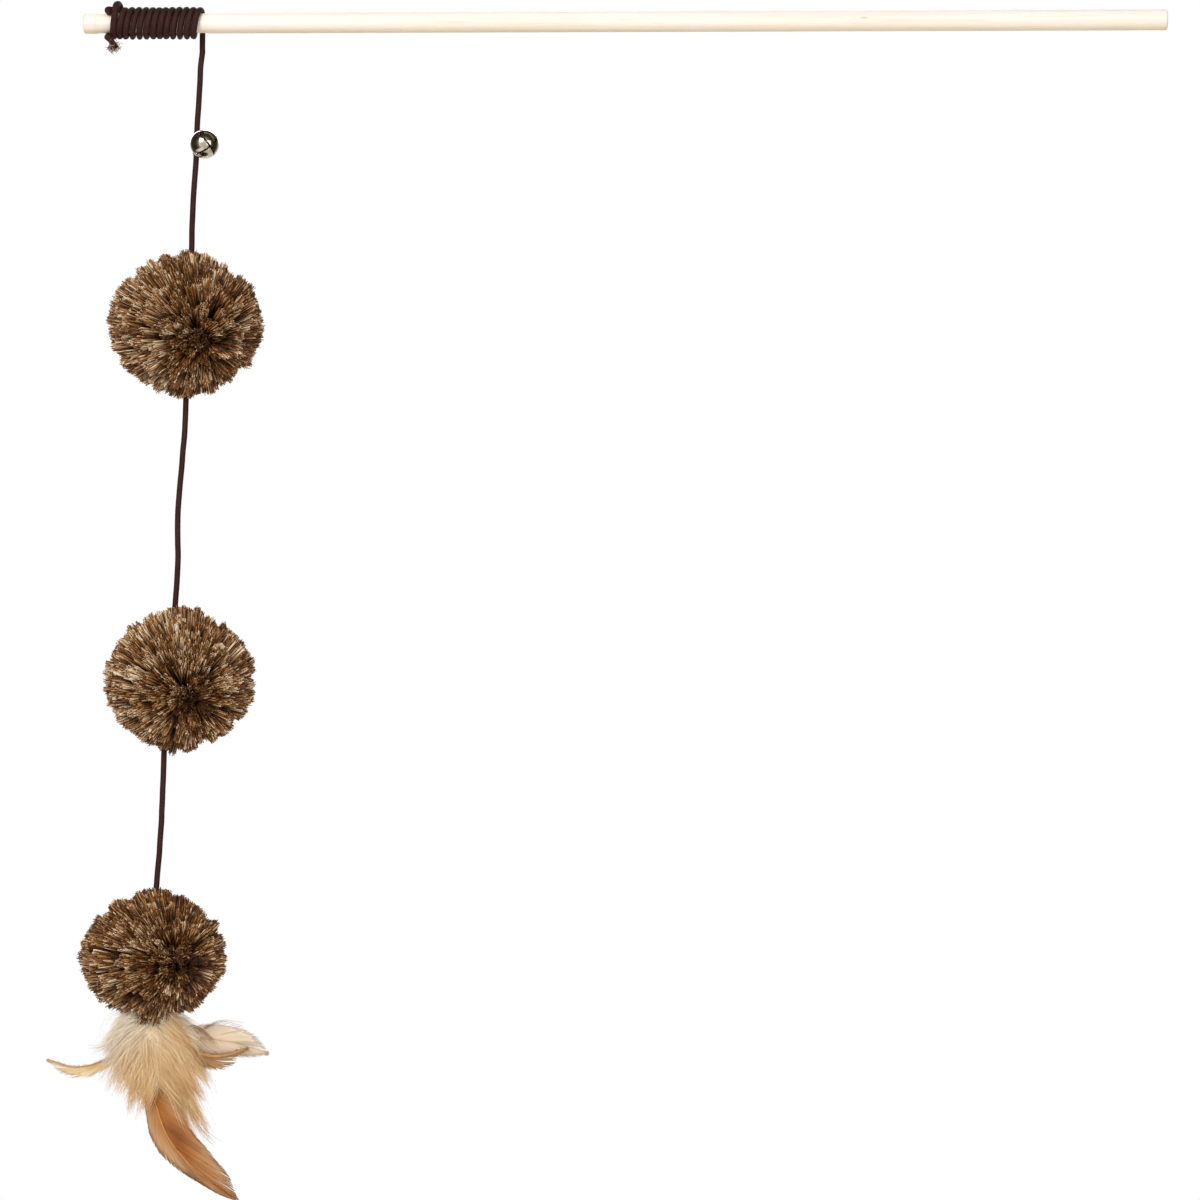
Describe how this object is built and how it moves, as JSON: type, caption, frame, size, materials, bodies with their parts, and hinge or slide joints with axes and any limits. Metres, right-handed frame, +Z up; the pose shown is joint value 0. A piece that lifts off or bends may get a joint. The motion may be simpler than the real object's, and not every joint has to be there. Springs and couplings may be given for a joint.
{
  "type": "cat teaser wand",
  "caption": "Wooden wand with a cord wound on near its tip, from which hang a jingle bell, yarn pom-poms and a bunch of feathers.",
  "frame": {"origin": "on the dowel's axis under the middle of the holding hand, 60 mm from the handle end", "axes": "+X along the dowel towards the handle end, +Z up; the cord hangs along -Z near the tip, which points to -X"},
  "size_m": [0.4826, 0.0648, 0.5202],
  "materials": {
    "pale_wood": "satin",
    "brown_cord": "matte",
    "brown_thread": "matte",
    "nickel": "polished",
    "steel": "polished",
    "mottled_yarn": "matte",
    "rust_feather": "satin",
    "tan_feather": "satin",
    "pale_feather": "satin",
    "cream_down": "matte",
    "white_down": "matte"
  },
  "bodies": {
    "wand": {"rod": "pale_wood", "winding": "brown_cord", "knot_ear": "brown_cord", "cord_tail": "brown_cord", "frayed_end": "brown_cord"},
    "link": {"cord_link": "brown_cord"},
    "upper_line": {"upper_cord": "brown_cord"},
    "bell": {"bell_shell": "nickel", "bell_loop": "nickel", "bell_pea": "steel"},
    "pompom_1_core": {"pompom_1_cord": "brown_cord"},
    "pompom_1": {"pompom_1_pile": "mottled_yarn", "pompom_1_tie": "brown_thread"},
    "mid_line": {"mid_cord": "brown_cord"},
    "pompom_2_core": {"pompom_2_cord": "brown_cord"},
    "pompom_2": {"pompom_2_pile": "mottled_yarn", "pompom_2_tie": "brown_thread"},
    "low_line": {"low_cord": "brown_cord"},
    "pompom_3_core": {"pompom_3_cord": "brown_cord"},
    "pompom_3": {"pompom_3_pile": "mottled_yarn", "pompom_3_tie": "brown_thread"},
    "feathers": {"cord_end": "brown_cord", "quill_binding": "brown_thread", "main_feather": "rust_feather", "tan_feather": "tan_feather", "pale_feather": "pale_feather", "left_feather": "tan_feather", "down_front": "cream_down", "down_back": "cream_down", "down_left": "white_down"}
  },
  "joints": [
    {"name": "cord_swing", "type": "hinge", "parent": "wand", "child": "link", "pos_m": [-0.3589, 0.0057, -0.0062], "axis": [1, 0, 0], "range_deg": [-70, 70]},
    {"name": "cord_sway", "type": "hinge", "parent": "link", "child": "upper_line", "pos_m": [-0.3589, 0.0057, -0.0122], "axis": [0, 1, 0], "range_deg": [-45, 45]},
    {"name": "bell_turn", "type": "hinge", "parent": "upper_line", "child": "bell", "pos_m": [-0.36104, 0.0057, -0.0507], "axis": [0, 0, 1], "continuous": true},
    {"name": "pompom_1_swing", "type": "hinge", "parent": "upper_line", "child": "pompom_1_core", "pos_m": [-0.363, 0.0057, -0.1016], "axis": [1, 0, 0], "range_deg": [-40, 40]},
    {"name": "pompom_1_turn", "type": "hinge", "parent": "pompom_1_core", "child": "pompom_1", "pos_m": [-0.363, 0.0057, -0.1016], "axis": [0.0297, 0, 0.9996], "continuous": true},
    {"name": "mid_sway", "type": "hinge", "parent": "pompom_1_core", "child": "mid_line", "pos_m": [-0.36475, 0.0057, -0.16057], "axis": [0, 1, 0], "range_deg": [-40, 40]},
    {"name": "pompom_2_swing", "type": "hinge", "parent": "mid_line", "child": "pompom_2_core", "pos_m": [-0.36885, 0.0057, -0.25597], "axis": [1, 0, 0], "range_deg": [-40, 40]},
    {"name": "pompom_2_turn", "type": "hinge", "parent": "pompom_2_core", "child": "pompom_2", "pos_m": [-0.36885, 0.0057, -0.25597], "axis": [0.0698, 0, 0.9976], "continuous": true},
    {"name": "low_sway", "type": "hinge", "parent": "pompom_2_core", "child": "low_line", "pos_m": [-0.37297, 0.0057, -0.31483], "axis": [0, 1, 0], "range_deg": [-40, 40]},
    {"name": "pompom_3_swing", "type": "hinge", "parent": "low_line", "child": "pompom_3_core", "pos_m": [-0.37607, 0.0057, -0.37873], "axis": [1, 0, 0], "range_deg": [-40, 40]},
    {"name": "pompom_3_turn", "type": "hinge", "parent": "pompom_3_core", "child": "pompom_3", "pos_m": [-0.37607, 0.0057, -0.37873], "axis": [0.0384, 0, 0.9993], "continuous": true},
    {"name": "feathers_swing", "type": "hinge", "parent": "pompom_3_core", "child": "feathers", "pos_m": [-0.37796, 0.0057, -0.42802], "axis": [1, 0, 0], "range_deg": [-35, 35]}
  ]
}
